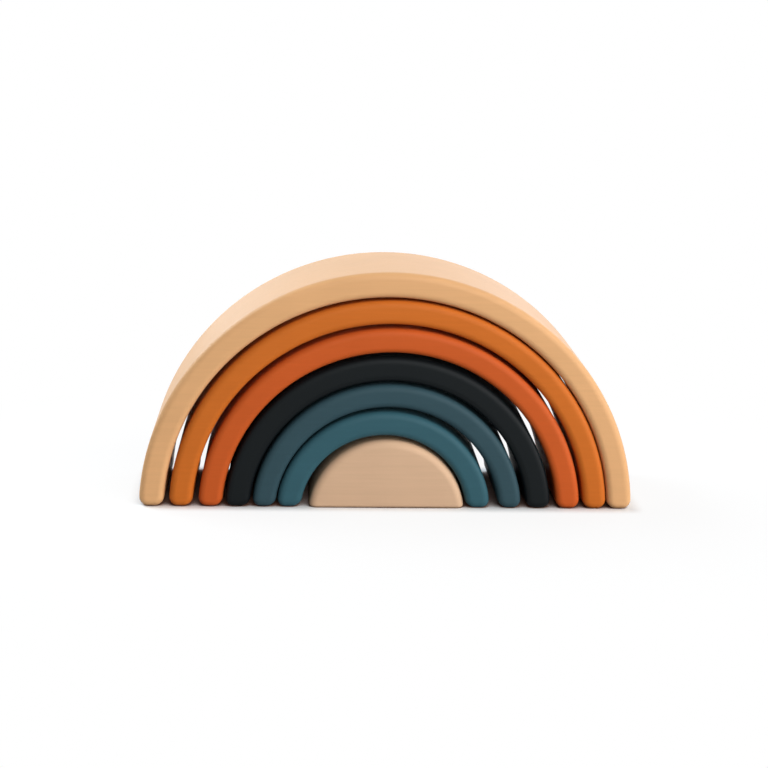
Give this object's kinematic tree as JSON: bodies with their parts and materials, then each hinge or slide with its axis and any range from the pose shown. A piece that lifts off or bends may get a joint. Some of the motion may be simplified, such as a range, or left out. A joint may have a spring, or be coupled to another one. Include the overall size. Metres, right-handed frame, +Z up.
{
  "type": "rainbow stacker",
  "caption": "Rainbow stacking toy: loose painted wooden arches that nest over a solid half-round block, flush front and back.",
  "frame": {"origin": "on the table, midway between the feet of the outermost arch and midway through its depth", "axes": "+X from the left foot to the right foot as seen from the front, +Y from front to back, +Z up"},
  "size_m": [0.1896, 0.05, 0.0915],
  "materials": {
    "beige_paint": "beige paint on wood, satin",
    "ochre_paint": "ochre paint on wood, satin",
    "rust_paint": "rust paint on wood, satin",
    "charcoal_paint": "charcoal paint on wood, satin",
    "slate_paint": "slate blue paint on wood, satin",
    "teal_paint": "teal paint on wood, satin",
    "tan_paint": "pale tan paint on wood, satin"
  },
  "bodies": {
    "centre_block": {"centre_block": "tan_paint"},
    "teal_arch": {"teal_arch": "teal_paint"},
    "slate_arch": {"slate_arch": "slate_paint"},
    "charcoal_arch": {"charcoal_arch": "charcoal_paint"},
    "rust_arch": {"rust_arch": "rust_paint"},
    "ochre_arch": {"ochre_arch": "ochre_paint"},
    "beige_arch": {"beige_arch": "beige_paint"}
  },
  "joints": [
    {"name": "teal_lift", "type": "slide", "parent": "centre_block", "child": "teal_arch", "axis": [0, 0, 1], "range_m": [0, 0.03]},
    {"name": "slate_lift", "type": "slide", "parent": "teal_arch", "child": "slate_arch", "axis": [0, 0, 1], "range_m": [0, 0.041]},
    {"name": "charcoal_lift", "type": "slide", "parent": "slate_arch", "child": "charcoal_arch", "axis": [0, 0, 1], "range_m": [0, 0.052]},
    {"name": "rust_lift", "type": "slide", "parent": "charcoal_arch", "child": "rust_arch", "axis": [0, 0, 1], "range_m": [0, 0.063]},
    {"name": "ochre_lift", "type": "slide", "parent": "rust_arch", "child": "ochre_arch", "axis": [0, 0, 1], "range_m": [0, 0.074]},
    {"name": "beige_lift", "type": "slide", "parent": "ochre_arch", "child": "beige_arch", "axis": [0, 0, 1], "range_m": [0, 0.084]}
  ]
}
